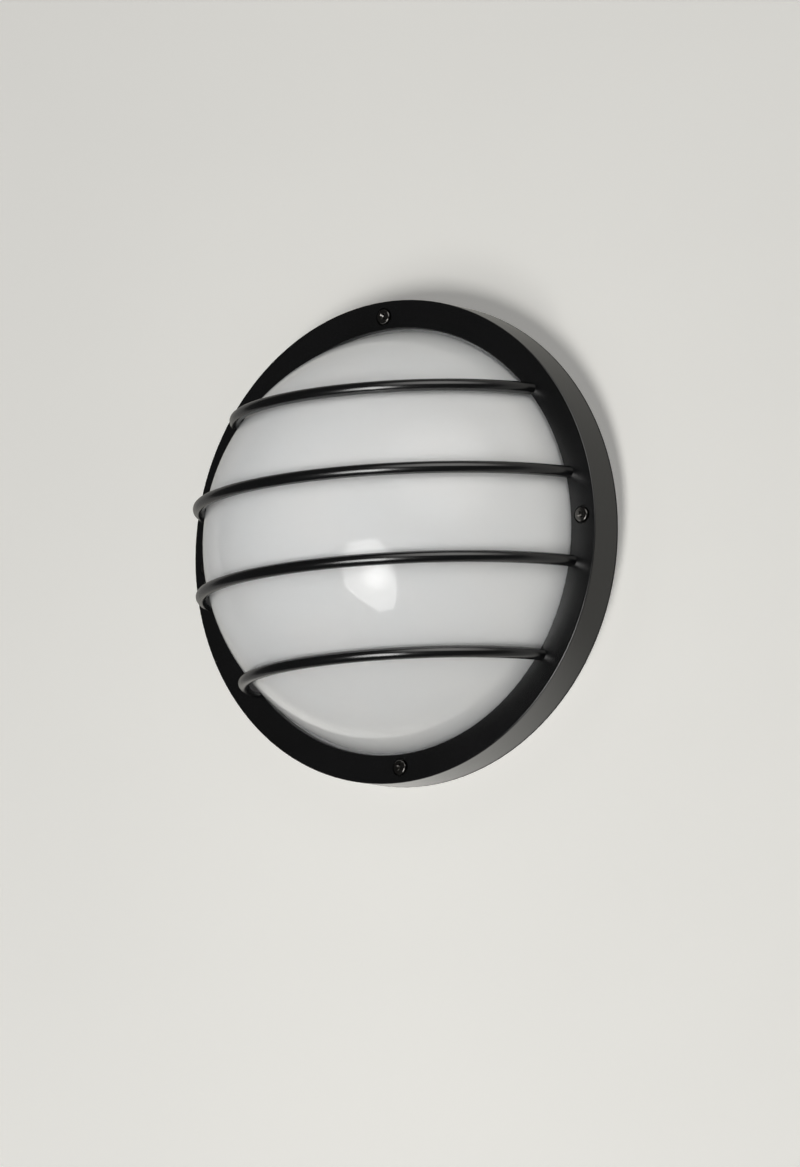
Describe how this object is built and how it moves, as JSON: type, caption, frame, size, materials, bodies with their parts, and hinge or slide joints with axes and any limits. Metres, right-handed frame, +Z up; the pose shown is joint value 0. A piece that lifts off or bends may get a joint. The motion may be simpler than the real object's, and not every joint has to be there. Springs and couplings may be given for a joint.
{
  "type": "outdoor wall light",
  "caption": "Round outdoor wall light: a black steel ring with curved guard bars over an opal dome, screwed to a cast base that fixes flat on a wall.",
  "frame": {"origin": "on the wall plane, midway between the two fixing slots, on the middle axis of the ring", "axes": "+Y points into the wall, the light stands out along -Y, +Z is up and +X is to the right seen from the front"},
  "size_m": [0.26, 0.1175, 0.26],
  "materials": {
    "black_coat": "satin black powder coat",
    "opal": "smooth glossy opal white",
    "dark_steel": "dark zinc, dull",
    "washer": "matt black rubber",
    "seal": "closed cell foam, dark grey",
    "cast_base": "raw die casting",
    "grommet": "matt black rubber",
    "gasket": "grey silicone",
    "white_enamel": "gloss white enamel",
    "zinc_steel": "bright zinc plate",
    "ceramic": "glazed ceramic, cream white",
    "brass": "bright brass",
    "lamp": "frosted white",
    "terminal": "natural nylon",
    "lead_brown": "brown silicone",
    "lead_blue": "blue silicone",
    "lead_green": "green and yellow silicone"
  },
  "bodies": {
    "root": {"front_ring": "black_coat", "guard_bar_1": "black_coat", "guard_bar_2": "black_coat", "guard_bar_3": "black_coat", "guard_bar_4": "black_coat", "diffuser": "opal", "ring_screws": "dark_steel", "screw_washers": "washer", "wall_seal": "seal", "base_pan": "cast_base", "base_wall": "cast_base", "base_lip": "cast_base", "cable_grommet": "grommet", "diffuser_gasket": "gasket", "reflector_plate": "white_enamel", "reflector_screws": "zinc_steel", "holder_bracket": "zinc_steel", "bracket_screws": "zinc_steel", "lamp_holder": "ceramic", "holder_shell": "brass", "holder_contact": "brass", "holder_screws": "zinc_steel", "lamp_bulb": "lamp", "terminal_block": "terminal", "terminal_barrels": "brass", "terminal_screws": "zinc_steel", "terminal_fixing_screw": "zinc_steel", "live_lead": "lead_brown", "neutral_lead": "lead_blue", "earth_lead": "lead_green", "earth_screw": "zinc_steel"}
  },
  "joints": []
}
